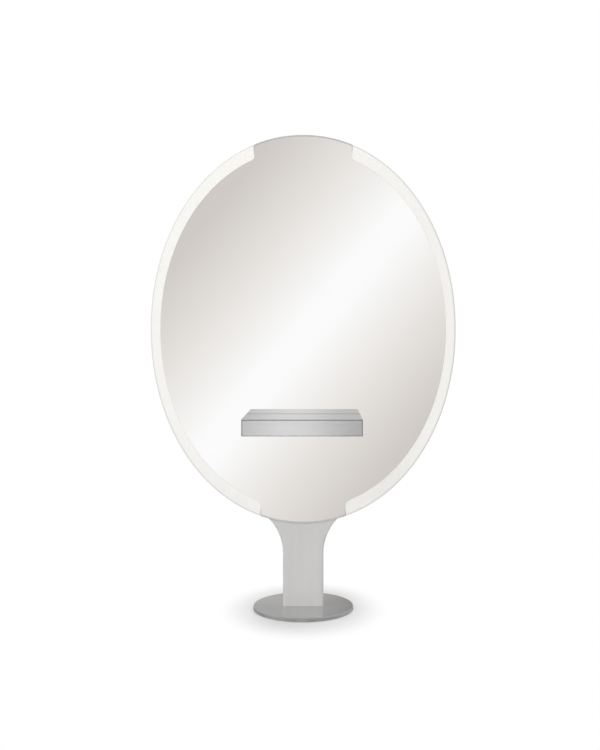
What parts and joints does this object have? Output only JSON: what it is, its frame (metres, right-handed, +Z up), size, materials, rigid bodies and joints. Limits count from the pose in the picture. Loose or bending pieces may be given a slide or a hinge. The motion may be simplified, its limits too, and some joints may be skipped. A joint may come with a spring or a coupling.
{
  "type": "double sided salon station",
  "caption": "Floor-standing salon station with a back-to-back oval mirror, lit side edges, a flared pedestal on a round foot and a steel shelf box with a drawer on each face.",
  "frame": {"origin": "on the floor, at the centre of the round foot", "axes": "+Z up; the front mirror faces -Y and the rear mirror faces +Y; +X is to the right of whoever faces the front mirror"},
  "size_m": [1.22, 0.593, 1.9],
  "materials": {
    "polished_steel": "polished stainless steel",
    "brushed_steel": "brushed stainless steel",
    "stem_lacquer": "satin light grey lacquer",
    "edge_metal": "satin dark steel",
    "mirror": "silvered float glass",
    "opal": "opal acrylic, lit from inside",
    "frame_steel": "grey primer",
    "zinc_steel": "bright zinc plate",
    "fibreboard": "raw hardboard",
    "circuit": "white circuit board with LED chips",
    "white_plastic": "moulded",
    "black_plastic": "moulded, fine grain",
    "wire": "insulated wire"
  },
  "bodies": {
    "station": {"floor_plate": "frame_steel", "base_cover": "polished_steel", "cable_gland": "black_plastic", "post_tube": "frame_steel", "stem_cover_front": "stem_lacquer", "stem_cover_rear": "stem_lacquer", "stem_bracket_lower": "zinc_steel", "stem_bracket_upper": "zinc_steel", "frame_half_right": "frame_steel", "frame_half_left": "frame_steel", "frame_splice": "zinc_steel", "crossbar_lower_front": "frame_steel", "crossbar_lower_rear": "frame_steel", "crossbar_upper_front": "frame_steel", "crossbar_upper_rear": "frame_steel", "edge_trim_top": "edge_metal", "edge_trim_bottom": "edge_metal", "light_lens_right": "opal", "light_lens_left": "opal", "led_strip_right": "circuit", "led_strip_left": "circuit", "led_driver": "white_plastic", "junction_box": "black_plastic", "led_lead_right": "wire", "led_lead_left": "wire", "backing_board_front": "fibreboard", "mirror_front": "mirror", "shelf_case_front": "brushed_steel", "shelf_bolt_front_left": "zinc_steel", "shelf_bolt_front_right": "zinc_steel", "runner_fixed_front_left": "zinc_steel", "runner_fixed_front_right": "zinc_steel", "switch_housing_front": "black_plastic", "switch_lead_front": "wire", "backing_board_rear": "fibreboard", "mirror_rear": "mirror", "shelf_case_rear": "brushed_steel", "shelf_bolt_rear_left": "zinc_steel", "shelf_bolt_rear_right": "zinc_steel", "runner_fixed_rear_left": "zinc_steel", "runner_fixed_rear_right": "zinc_steel", "switch_housing_rear": "black_plastic", "switch_lead_rear": "wire"},
    "front_drawer": {"drawer_front_front": "brushed_steel", "drawer_tray_front": "zinc_steel", "runner_slide_front_left": "zinc_steel", "runner_slide_front_right": "zinc_steel"},
    "front_light_switch": {"switch_rocker_front": "black_plastic"},
    "rear_drawer": {"drawer_front_rear": "brushed_steel", "drawer_tray_rear": "zinc_steel", "runner_slide_rear_left": "zinc_steel", "runner_slide_rear_right": "zinc_steel"},
    "rear_light_switch": {"switch_rocker_rear": "black_plastic"}
  },
  "joints": [
    {"name": "front_drawer_slide", "type": "slide", "parent": "station", "child": "front_drawer", "axis": [0, -1, 0], "range_m": [0, 0.15]},
    {"name": "front_switch_rock", "type": "hinge", "parent": "station", "child": "front_light_switch", "pos_m": [0.17, -0.0615, 0.721], "axis": [0, -1, 0], "range_deg": [0, 14]},
    {"name": "rear_drawer_slide", "type": "slide", "parent": "station", "child": "rear_drawer", "axis": [0, 1, 0], "range_m": [0, 0.15]},
    {"name": "rear_switch_rock", "type": "hinge", "parent": "station", "child": "rear_light_switch", "pos_m": [-0.17, 0.0615, 0.721], "axis": [0, 1, 0], "range_deg": [0, 14]}
  ]
}
